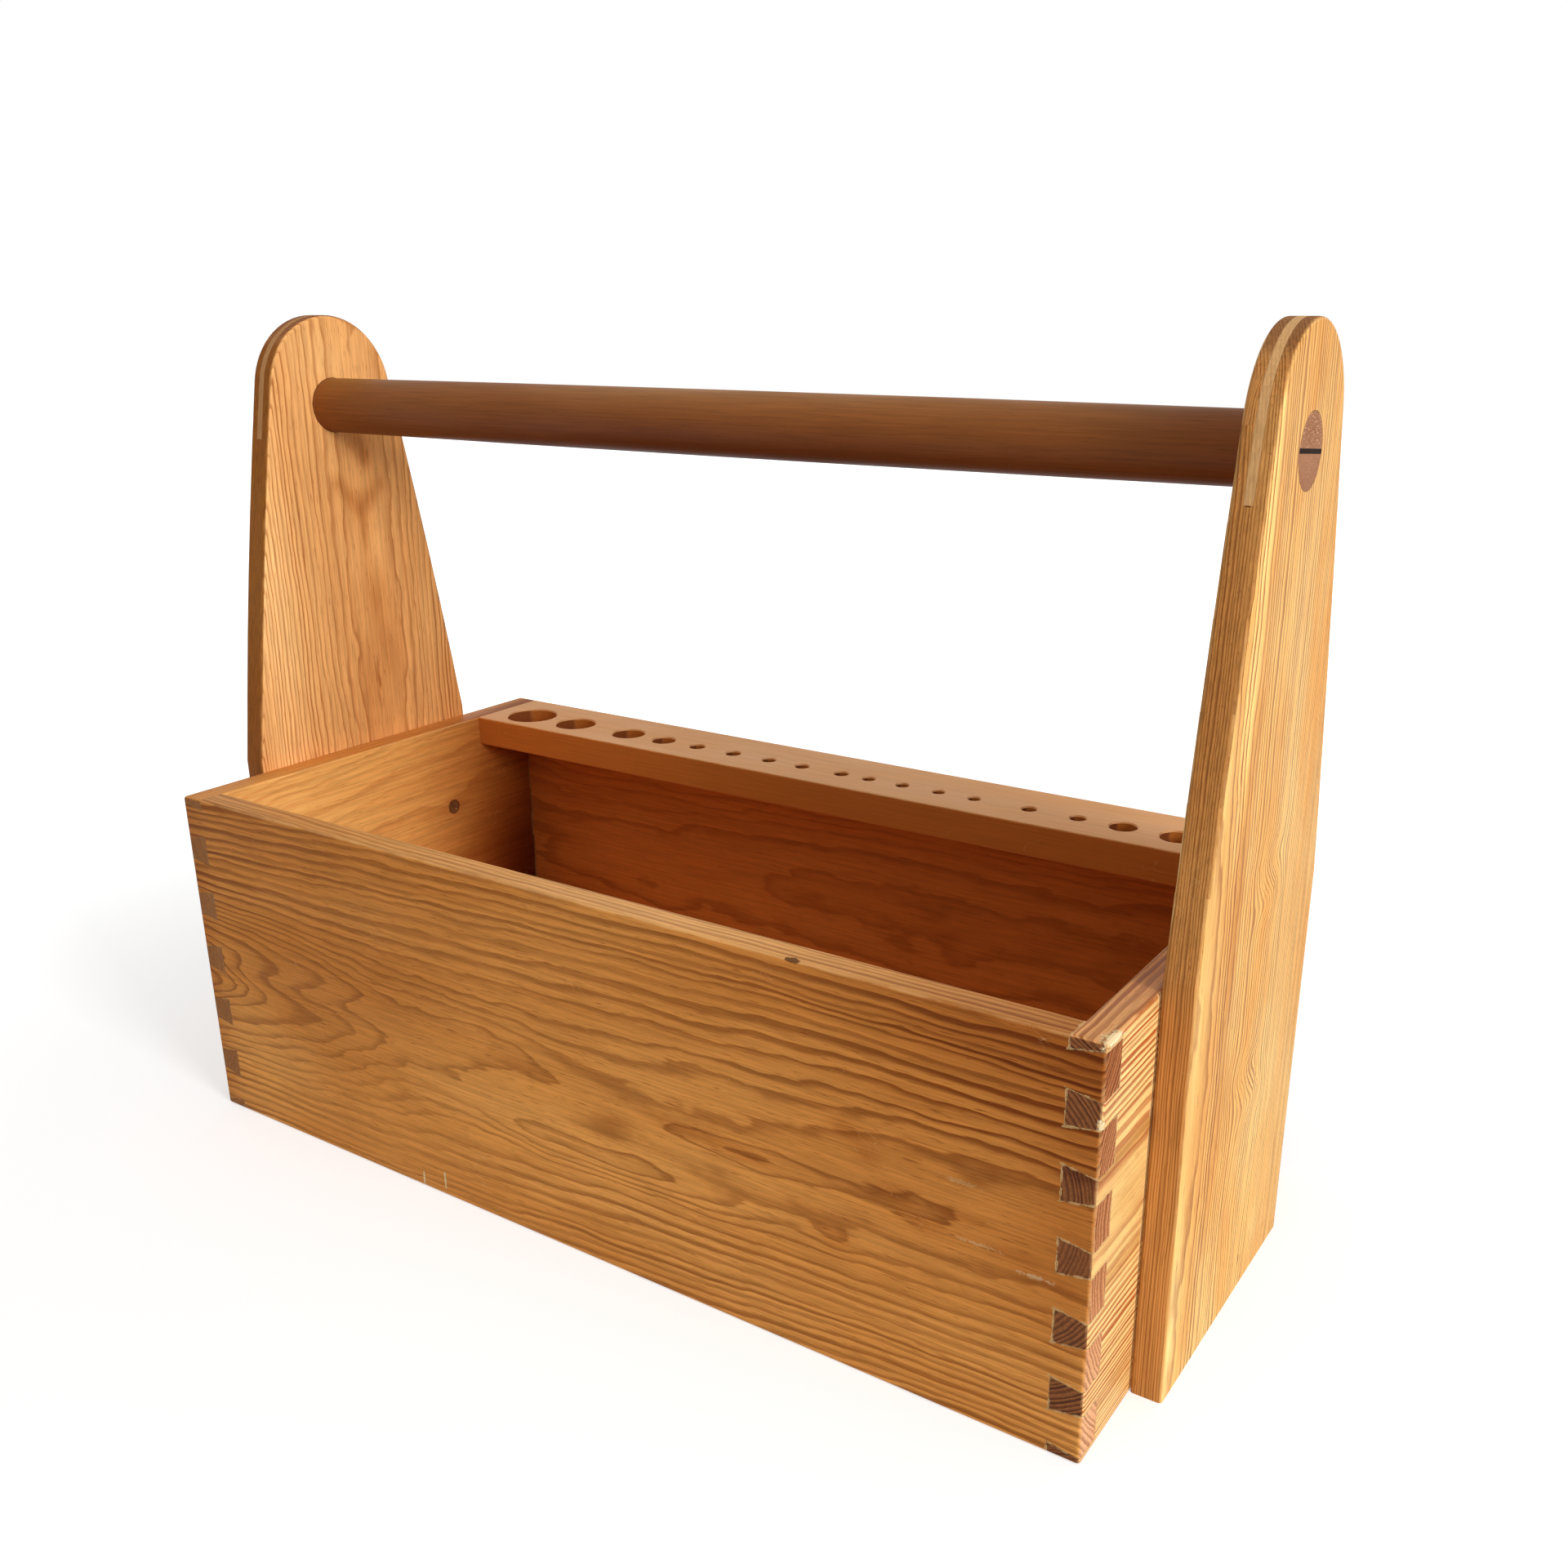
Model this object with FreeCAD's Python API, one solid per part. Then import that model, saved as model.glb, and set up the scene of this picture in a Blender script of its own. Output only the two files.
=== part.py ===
import FreeCAD, Part
import math
import os

# A carpenter's open tool tote: a dovetailed pine box with a drilled tool rack along
# its back, and a round handle wedged through two shaped uprights at its ends.
#
# Millimetres. X runs along the handle, the front panel faces -Y, and +Z is up. The
# origin is the middle of the footprint, on the plane that the tote stands on.

V = FreeCAD.Vector

# ---------------------------------------------------------------- driving dimensions

# Box, over its outer faces
box_length = 600.0
box_depth = 290.0
box_height = 210.0
end_panel_thickness = 16.5
front_panel_thickness = 16.5
back_panel_thickness = 13.0
outer_edge_round = 2.0
rim_inner_round = 1.5

# Bottom panel, let into grooves on all four sides
bottom_panel_thickness = 8.0
bottom_panel_height = 10.0      # its underside above the base plane
bottom_groove_depth = 6.0
bottom_edge_gap = 0.5           # left in each groove so that the panel can swell

# Through dovetails: pins on the end panels, tails on the front and back panels
front_pin_count = 5
back_pin_count = 4
pin_root_width = 18.0           # where the pin leaves the end panel
half_pin_root_width = 6.5       # at the top and bottom of each corner
first_pin_height = 33.0         # from the board's edge to the middle of the nearest pin
dovetail_ratio = 6.0            # one across to this many along

# Tool rack, between the end panels and on top of the back panel
rack_depth = 60.0
rack_thickness = 20.0
rack_edge_round = 1.2
rack_hole_setback = 24.5        # from the rack's front edge to the row of holes
rack_hole_chamfer = 0.8
rack_holes = (                  # share of the rack's length from its left end, diameter
    (0.052, 35.0), (0.126, 28.0), (0.212, 22.5), (0.267, 16.0), (0.318, 10.5),
    (0.371, 10.0), (0.422, 9.0), (0.468, 9.0), (0.521, 9.0), (0.557, 8.0),
    (0.600, 8.0), (0.645, 7.5), (0.688, 7.5), (0.752, 9.0), (0.807, 9.5),
    (0.856, 16.0), (0.913, 20.0),
)

# Blind dowels that hold the rack to the end panels
rack_dowel_diameter = 6.0
rack_dowel_in_rack = 10.0
rack_dowel_in_panel = 11.0
rack_dowel_inset = 9.0          # from the rack's front and back edges
rack_dowel_end_gap = 0.5        # glue space at each blind end

# Uprights, flat against the outside of the end panels
upright_thickness = 16.0
upright_width = 174.0
upright_height = 485.0
upright_shoulder_height = 216.0  # straight edges end and the taper starts
upright_top_radius = 47.0
upright_taper_bow = 1.7         # how far the taper swells beyond a straight line
upright_edge_round = 2.0

# Feather glued across the grain of each upright, around the handle's bore
feather_thickness = 4.2
feather_below_bore = 1.0

# Small patch let into the front edge of the right upright, at its inner face
patch_below_top = 22.0          # from the upright's top down to the patch
patch_length = 19.0
patch_width = 5.0
patch_depth = 2.5

# Handle, a turned bar that passes through both uprights
handle_below_top = 54.0         # from the uprights' tops down to its axis
handle_end_radius = 16.5
handle_middle_radius = 17.2
handle_bore_clearance = 0.05

# Wedge driven into a kerf across each end of the handle
wedge_length = 14.0
wedge_thick_end = 2.2
wedge_thin_end = 0.6
wedge_tilt = 4.5

# Countersunk slotted wood screws, from inside the box into the uprights
screw_length = 27.0
screw_head_radius = 4.5
screw_shank_radius = 2.2
screw_point_length = 6.0
screw_head_sink = 0.4
screw_slot_width = 1.2
screw_slot_depth = 1.1
screw_hole_clearance = 0.1      # round the shank, in the end panel only
screw_spread = 109.0            # between the two columns of screws
screw_upper_height = 150.5
screw_lower_height = 48.0

# ---------------------------------------------------------------- derived places

half_length = box_length / 2
front_face = -box_depth / 2
back_face = box_depth / 2
inner_half_length = half_length - end_panel_thickness
inner_front = front_face + front_panel_thickness
inner_back = back_face - back_panel_thickness
rack_front = back_face - rack_depth
rack_underside = box_height - rack_thickness
rack_hole_line = rack_front + rack_hole_setback
rack_length = 2 * inner_half_length
outer_half_length = half_length + upright_thickness
upright_half_width = upright_width / 2
upright_arc_centre = upright_height - upright_top_radius
handle_height = upright_height - handle_below_top
handle_bore_radius = handle_end_radius + handle_bore_clearance
feather_foot = handle_height - handle_bore_radius - feather_below_bore
feather_middle = half_length + upright_thickness / 2
cut_margin = 1.0                # how far a cutting solid runs past the wood

LEFT = -1
RIGHT = 1
X_AXIS = V(1, 0, 0)
SIDE_NAMES = {LEFT: "left", RIGHT: "right"}


# ---------------------------------------------------------------- helpers

def box_between(low, high):
    """Return the axis-aligned box with these two opposite corners."""
    size = high - low
    return Part.makeBox(size.x, size.y, size.z, low)


def prism(points, sweep):
    """Return the solid that a closed polygon makes when swept along a vector."""
    outline = Part.makePolygon(points + [points[0]])
    return Part.Face(outline).extrude(sweep)


def on_side(side, shape):
    """Return a shape drawn for the right-hand side, mirrored if the side is the left."""
    if side == RIGHT:
        return shape
    return shape.mirror(V(0, 0, 0), X_AXIS)


def edge_lies(edge, test):
    """Tell whether both ends and the middle of an edge pass a test on their position."""
    middle = edge.valueAt((edge.FirstParameter + edge.LastParameter) / 2)
    ends = [vertex.Point for vertex in edge.Vertexes]
    return all(test(point) for point in ends + [middle])


def close(a, b):
    """Tell whether two lengths are the same."""
    return abs(a - b) < 1e-6


# ---------------------------------------------------------------- box

def box_walls():
    """Return the four walls as one rounded tube, which each panel is trimmed to."""
    outside = box_between(V(-half_length, front_face, 0), V(half_length, back_face, box_height))
    outside = outside.makeFillet(outer_edge_round, outside.Edges)
    inside = box_between(
        V(-inner_half_length, inner_front, -cut_margin),
        V(inner_half_length, inner_back, box_height + cut_margin),
    )
    walls = outside.cut(inside)

    def on_inner_rim(point):
        along_side = close(abs(point.x), inner_half_length)
        along_front = close(point.y, inner_front)
        return close(point.z, box_height) and (along_side or along_front)

    rim = [edge for edge in walls.Edges if edge_lies(edge, on_inner_rim)]
    return walls.makeFillet(rim_inner_round, rim)


def pin_heights(board_height, pin_count):
    """Return the height of the middle of each full pin along a corner."""
    pitch = (board_height - 2 * first_pin_height) / (pin_count - 1)
    return [first_pin_height + index * pitch for index in range(pin_count)]


def pin_blocks(board_face, board_thickness, board_height, pin_count):
    """Return the right-hand corner's pins, full ones and halves, cut square to Y."""
    root_x = inner_half_length
    tip_x = half_length + cut_margin
    narrowing = (tip_x - root_x) / dovetail_ratio
    low_y = board_face - cut_margin
    sweep = V(0, board_thickness + 2 * cut_margin, 0)
    spans = [
        (height - pin_root_width / 2, height + pin_root_width / 2)
        for height in pin_heights(board_height, pin_count)
    ]
    blocks = []
    for low_z, high_z in spans:
        blocks.append(prism([
            V(root_x, low_y, low_z),
            V(tip_x, low_y, low_z + narrowing),
            V(tip_x, low_y, high_z - narrowing),
            V(root_x, low_y, high_z),
        ], sweep))
    lower = half_pin_root_width
    upper = board_height - half_pin_root_width
    blocks.append(prism([
        V(root_x, low_y, -cut_margin),
        V(tip_x, low_y, -cut_margin),
        V(tip_x, low_y, lower - narrowing),
        V(root_x, low_y, lower),
    ], sweep))
    blocks.append(prism([
        V(root_x, low_y, upper),
        V(tip_x, low_y, upper + narrowing),
        V(tip_x, low_y, board_height + cut_margin),
        V(root_x, low_y, board_height + cut_margin),
    ], sweep))
    return blocks


def tail_board(board_face, board_thickness, board_height, pin_count):
    """Return a long panel with dovetails at both ends, before its edges are rounded."""
    board = box_between(
        V(-half_length, board_face, 0),
        V(half_length, board_face + board_thickness, board_height),
    )
    pins = pin_blocks(board_face, board_thickness, board_height, pin_count)
    return board.cut([on_side(side, pin) for side in (LEFT, RIGHT) for pin in pins])


def bottom_slab(depth_in_groove):
    """Return the slab that fills the box and reaches this far into its four walls."""
    return box_between(
        V(-inner_half_length - depth_in_groove, inner_front - depth_in_groove, bottom_panel_height),
        V(
            inner_half_length + depth_in_groove,
            inner_back + depth_in_groove,
            bottom_panel_height + bottom_panel_thickness,
        ),
    )


def end_panel(side, tail_boards, fixings):
    """Return one end panel, whose pins fill what the two tail boards leave."""
    low_x, high_x = sorted((side * half_length, side * inner_half_length))
    board = box_between(V(low_x, front_face, 0), V(high_x, back_face, box_height))
    return board.cut(tail_boards).cut(bottom_slab(bottom_groove_depth)).cut(fixings)


# ---------------------------------------------------------------- tool rack

def rack_hole(centre_x, diameter):
    """Return the cutting solid of one through hole with a chamfered rim."""
    radius = diameter / 2
    bore = Part.makeCylinder(
        radius,
        rack_thickness + 2 * cut_margin,
        V(centre_x, rack_hole_line, rack_underside - cut_margin),
    )
    rim = Part.makeCone(
        radius,
        radius + rack_hole_chamfer,
        rack_hole_chamfer,
        V(centre_x, rack_hole_line, box_height - rack_hole_chamfer),
    )
    return bore.fuse(rim)


def rack_dowel(side, centre_y, end_gap):
    """Return a dowel across one rack end, shortened by a gap at each blind end."""
    start = inner_half_length - rack_dowel_in_rack + end_gap
    length = rack_dowel_in_rack + rack_dowel_in_panel - 2 * end_gap
    place = V(start, centre_y, rack_underside + rack_thickness / 2)
    return on_side(side, Part.makeCylinder(rack_dowel_diameter / 2, length, place, X_AXIS))


def rack_dowels(sides, end_gap):
    """Return the pairs of dowels at these ends of the rack."""
    lines = (rack_front + rack_dowel_inset, back_face - rack_dowel_inset)
    return [rack_dowel(side, line, end_gap) for side in sides for line in lines]


def tool_rack(dowel_holes):
    """Return the rack board with its row of graded holes."""
    board = box_between(
        V(-inner_half_length, rack_front, rack_underside),
        V(inner_half_length, back_face, box_height),
    )

    def on_front_edge(point):
        return close(point.y, rack_front)

    def on_back_top_edge(point):
        return close(point.y, back_face) and close(point.z, box_height)

    front_edges = [
        edge for edge in board.Edges
        if edge_lies(edge, on_front_edge) and close(abs(edge.tangentAt(0).x), 1)
    ]
    board = board.makeFillet(rack_edge_round, front_edges)
    back_edges = [edge for edge in board.Edges if edge_lies(edge, on_back_top_edge)]
    board = board.makeFillet(outer_edge_round, back_edges)
    holes = [
        rack_hole(-inner_half_length + share * rack_length, diameter)
        for share, diameter in rack_holes
    ]
    return board.cut(holes).cut(dowel_holes)


# ---------------------------------------------------------------- uprights

def taper_points():
    """Return the shoulder, middle and top of the tapered edge, as (y, z) pairs."""
    drop_y = upright_half_width
    drop_z = upright_shoulder_height - upright_arc_centre
    reach = math.hypot(drop_y, drop_z)
    angle = math.atan2(drop_z, drop_y) + math.acos(upright_top_radius / reach)
    top_y = upright_top_radius * math.cos(angle)
    top_z = upright_arc_centre + upright_top_radius * math.sin(angle)
    middle_y = (drop_y + top_y) / 2 + upright_taper_bow * math.cos(angle)
    middle_z = (upright_shoulder_height + top_z) / 2 + upright_taper_bow * math.sin(angle)
    return (drop_y, upright_shoulder_height), (middle_y, middle_z), (top_y, top_z)


def upright_outline(x):
    """Return the closed outline of an upright on the plane at this X."""
    shoulder, middle, top = taper_points()

    def at(point, sign):
        return V(x, sign * point[0], point[1])

    foot = (upright_half_width, 0)
    crown = V(x, 0, upright_height)
    edges = [
        Part.makeLine(at(foot, -1), at(shoulder, -1)),
        Part.Arc(at(shoulder, -1), at(middle, -1), at(top, -1)).toShape(),
        Part.Arc(at(top, -1), crown, at(top, 1)).toShape(),
        Part.Arc(at(top, 1), at(middle, 1), at(shoulder, 1)).toShape(),
        Part.makeLine(at(shoulder, 1), at(foot, 1)),
        Part.makeLine(at(foot, 1), at(foot, -1)),
    ]
    return Part.Wire(edges)


def upright_blank():
    """Return the right-hand upright with rounded edges, before it is cut."""
    blank = Part.Face(upright_outline(half_length)).extrude(V(upright_thickness, 0, 0))

    def on_inner_face(point):
        return close(point.x, half_length)

    def on_outer_face(point):
        return close(point.x, outer_half_length)

    def on_base(point):
        return close(point.z, 0)

    outline = [
        edge for edge in blank.Edges
        if (edge_lies(edge, on_inner_face) or edge_lies(edge, on_outer_face))
        and not edge_lies(edge, on_base)
    ]
    return blank.makeFillet(upright_edge_round, outline)


def handle_bore():
    """Return the cutting solid of the handle's hole through the right-hand upright."""
    start = V(half_length - cut_margin, 0, handle_height)
    return Part.makeCylinder(handle_bore_radius, upright_thickness + 2 * cut_margin, start, X_AXIS)


def feather_slot():
    """Return the slot sawn down through the top of the right-hand upright."""
    return box_between(
        V(feather_middle - feather_thickness / 2, -upright_half_width - cut_margin, feather_foot),
        V(
            feather_middle + feather_thickness / 2,
            upright_half_width + cut_margin,
            upright_height + cut_margin,
        ),
    )


def patch_pocket():
    """Return the pocket of the patch, sunk into the rounded front edge at the inner face."""
    def edge_y(height):
        return -math.sqrt(upright_top_radius ** 2 - (height - upright_arc_centre) ** 2)

    high_z = upright_height - patch_below_top
    low_z = high_z - patch_length
    start_x = half_length - cut_margin
    return prism([
        V(start_x, -upright_half_width, low_z),
        V(start_x, edge_y(low_z) + patch_depth, low_z),
        V(start_x, edge_y(high_z) + patch_depth, high_z),
        V(start_x, -upright_half_width, high_z),
    ], V(patch_width + cut_margin, 0, 0))


# ---------------------------------------------------------------- handle and wedges

def handle_bar():
    """Return the whole handle before its ends are split for the wedges."""
    axis = V(0, 0, handle_height)

    def at(x, radius):
        return V(x, 0, handle_height + radius)

    edges = [
        Part.makeLine(at(-outer_half_length, 0), at(-outer_half_length, handle_end_radius)),
        Part.makeLine(at(-outer_half_length, handle_end_radius), at(-half_length, handle_end_radius)),
        Part.Arc(
            at(-half_length, handle_end_radius),
            at(0, handle_middle_radius),
            at(half_length, handle_end_radius),
        ).toShape(),
        Part.makeLine(at(half_length, handle_end_radius), at(outer_half_length, handle_end_radius)),
        Part.makeLine(at(outer_half_length, handle_end_radius), at(outer_half_length, 0)),
        Part.makeLine(at(outer_half_length, 0), at(-outer_half_length, 0)),
    ]
    profile = Part.Face(Part.Wire(edges))
    return profile.revolve(axis, X_AXIS, 360)


def wedge_blank():
    """Return the right-hand wedge, which dips a little to the back, wider than the handle that it is trimmed to."""
    start_x = outer_half_length - wedge_length
    low_y = -handle_end_radius - cut_margin
    blank = prism([
        V(start_x, low_y, handle_height - wedge_thin_end / 2),
        V(outer_half_length, low_y, handle_height - wedge_thick_end / 2),
        V(outer_half_length, low_y, handle_height + wedge_thick_end / 2),
        V(start_x, low_y, handle_height + wedge_thin_end / 2),
    ], V(0, -2 * low_y, 0))
    blank.rotate(V(0, 0, handle_height), X_AXIS, -wedge_tilt)
    return blank


# ---------------------------------------------------------------- screws

def screw_solid(centre_y, centre_z, clearance):
    """Return a right-hand screw as a turned solid, its shank thicker by a clearance."""
    head_x = inner_half_length + screw_head_sink
    shank = screw_shank_radius + clearance
    neck_x = head_x + screw_head_radius - shank
    tip_x = head_x + screw_length
    centre = V(0, centre_y, centre_z)
    outline = Part.makePolygon([
        centre + V(head_x, 0, 0),
        centre + V(head_x, 0, screw_head_radius),
        centre + V(neck_x, 0, shank),
        centre + V(tip_x - screw_point_length, 0, shank),
        centre + V(tip_x, 0, 0),
        centre + V(head_x, 0, 0),
    ])
    return Part.Face(outline).revolve(centre, X_AXIS, 360)


def screw_places():
    """Return the (y, z) place of each screw on one side."""
    columns = (-screw_spread / 2, screw_spread / 2)
    rows = (screw_lower_height, screw_upper_height)
    return [(y, z) for y in columns for z in rows]


def screw_slot(centre_y, centre_z):
    """Return the cutting solid of the driver slot across one right-hand head."""
    head_x = inner_half_length + screw_head_sink
    slot_length = 2 * (screw_head_radius + cut_margin)
    slot = Part.makeBox(
        screw_slot_depth + cut_margin,
        screw_slot_width,
        slot_length,
        V(head_x - cut_margin, centre_y - screw_slot_width / 2, centre_z - slot_length / 2),
    )
    turn = math.degrees(centre_y + centre_z)
    slot.rotate(V(head_x, centre_y, centre_z), X_AXIS, turn)
    return slot


def upright_screws():
    """Return the right-hand set of screws."""
    return [screw_solid(y, z, 0).cut(screw_slot(y, z)) for y, z in screw_places()]


def screw_holes():
    """Return the right-hand holes in the end panel, with the sunk recess of each head."""
    holes = []
    for y, z in screw_places():
        recess_start = V(inner_half_length - cut_margin, y, z)
        recess = Part.makeCylinder(
            screw_head_radius, cut_margin + screw_head_sink, recess_start, X_AXIS,
        )
        holes.append(screw_solid(y, z, screw_hole_clearance).fuse(recess))
    return holes


def screw_pilots():
    """Return the right-hand holes that the threads cut in the upright."""
    return [screw_solid(y, z, 0) for y, z in screw_places()]


# ---------------------------------------------------------------- assembly

def box_nodes():
    """Return the box's panels, the rack and the dowels, by node name."""
    walls = box_walls()
    front = tail_board(front_face, front_panel_thickness, box_height, front_pin_count)
    back = tail_board(inner_back, back_panel_thickness, rack_underside, back_pin_count)
    groove = bottom_slab(bottom_groove_depth)
    nodes = {
        "front_panel": front.cut(groove).common(walls),
        "back_panel": back.cut(groove).common(walls),
        "bottom_panel": bottom_slab(bottom_groove_depth - bottom_edge_gap),
        "tool_rack": tool_rack(rack_dowels((LEFT, RIGHT), 0)),
        "rack_dowels": Part.makeCompound(rack_dowels((LEFT, RIGHT), rack_dowel_end_gap)),
    }
    for side in (LEFT, RIGHT):
        fixings = rack_dowels((side,), 0) + [on_side(side, hole) for hole in screw_holes()]
        panel = end_panel(side, [front, back], fixings)
        nodes[SIDE_NAMES[side] + "_end_panel"] = panel.common(walls)
    return nodes


def upright_nodes():
    """Return both uprights with their feathers and screws, and the patch, by node name."""
    blank = upright_blank().cut(handle_bore()).cut(screw_pilots())
    slot = feather_slot()
    body = blank.cut(slot)
    feather = blank.common(slot)
    screws = upright_screws()
    pocket = patch_pocket()
    nodes = {"right_upright_patch": body.common(pocket)}
    for side in (LEFT, RIGHT):
        name = SIDE_NAMES[side]
        plain = body.cut(pocket) if side == RIGHT else body
        nodes[name + "_upright"] = on_side(side, plain)
        nodes[name + "_upright_feather"] = on_side(side, feather)
        nodes[name + "_upright_screws"] = on_side(side, Part.makeCompound(screws))
    return nodes


def handle_nodes():
    """Return the handle and the wedge in each of its ends, by node name."""
    bar = handle_bar()
    wedge = wedge_blank().common(bar)
    wedges = {side: on_side(side, wedge) for side in (LEFT, RIGHT)}
    nodes = {SIDE_NAMES[side] + "_handle_wedge": wedges[side] for side in (LEFT, RIGHT)}
    nodes["handle"] = bar.cut(list(wedges.values()))
    return nodes


def build():
    """Write one STEP file for each node."""
    os.makedirs("parts", exist_ok=True)
    for nodes in (box_nodes(), upright_nodes(), handle_nodes()):
        for name, shape in nodes.items():
            shape.exportStep(f"parts/{name}.step")


build()
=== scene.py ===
"""Dresses the wooden tool tote in oiled, aged pine and stands it in a plain pale studio."""

import sys

import logging
import math
from abc import ABC, abstractmethod
from dataclasses import dataclass
from enum import Enum
from types import SimpleNamespace
from typing import ClassVar

import bpy
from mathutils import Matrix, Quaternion, Vector

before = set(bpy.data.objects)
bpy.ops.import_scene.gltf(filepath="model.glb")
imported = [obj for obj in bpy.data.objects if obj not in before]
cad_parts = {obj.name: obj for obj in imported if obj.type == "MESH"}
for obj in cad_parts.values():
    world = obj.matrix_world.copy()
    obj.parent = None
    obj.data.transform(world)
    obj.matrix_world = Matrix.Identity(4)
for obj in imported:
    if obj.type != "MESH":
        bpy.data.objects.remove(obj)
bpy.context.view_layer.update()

log = logging.getLogger("tool_tote")

Socket = bpy.types.NodeSocket
Triple = tuple[float, float, float]
Colour = tuple[float, float, float, float]

# The tote's sizes, in millimetres from its middle and from the floor
HALF_DEPTH = 145.0  # outer faces of the front and the back
END_INSIDE = 283.5  # inner faces of the end panels
END_OUTSIDE = 300.0  # outer faces of the end panels, where the uprights stand
POST_MIDDLE = 308.0  # half way through an upright
POST_OUTSIDE = 316.0  # outer faces of the uprights
GRIP_HEIGHT = 431.0  # the handle's middle
GRIP_RADIUS = 16.5
SCREW_COLUMNS = (-54.5, 54.5)
SCREW_ROWS = (48.0, 150.5)
MILLIMETRES = 1000.0  # in a metre


def paint(red: float, green: float, blue: float) -> Colour:
    """Turn a colour off a paint card into the shader's linear colour.

    Args:
        red: Red, 0 to 255.
        green: Green, 0 to 255.
        blue: Blue, 0 to 255.

    Returns:
        The linear colour, with full alpha.
    """
    parts = []
    for level in (red, green, blue):
        share = level / 255
        parts.append(share / 12.92 if share <= 0.04045 else ((share + 0.055) / 1.055) ** 2.4)
    return (*parts, 1.0)


class Wire:
    """An output of a node, which sums can be written with."""

    def __init__(self, bench: "Bench", socket: Socket) -> None:
        """Hold an output of a node that stands on a bench."""
        self.bench = bench
        self.socket = socket

    def __add__(self, other: "Value") -> "Wire":
        """Return this plus a value."""
        return self.bench.math("ADD", self, other)

    def __radd__(self, other: float) -> "Wire":
        """Return a number plus this."""
        return self.bench.math("ADD", other, self)

    def __sub__(self, other: "Value") -> "Wire":
        """Return this less a value."""
        return self.bench.math("SUBTRACT", self, other)

    def __rsub__(self, other: float) -> "Wire":
        """Return a number less this."""
        return self.bench.math("SUBTRACT", other, self)

    def __mul__(self, other: "Value") -> "Wire":
        """Return this times a value."""
        return self.bench.math("MULTIPLY", self, other)

    def __truediv__(self, other: "Value") -> "Wire":
        """Return this divided by a value."""
        return self.bench.math("DIVIDE", self, other)

    def __abs__(self) -> "Wire":
        """Return this without its sign."""
        return self.bench.math("ABSOLUTE", self)

    def over(self, floor: "Value") -> "Wire":
        """Return 1 where this is greater than a value, and 0 elsewhere."""
        return self.bench.math("GREATER_THAN", self, floor)


Value = float | tuple[float, ...] | Wire
Feeds = dict[str | int, Value]


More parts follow.
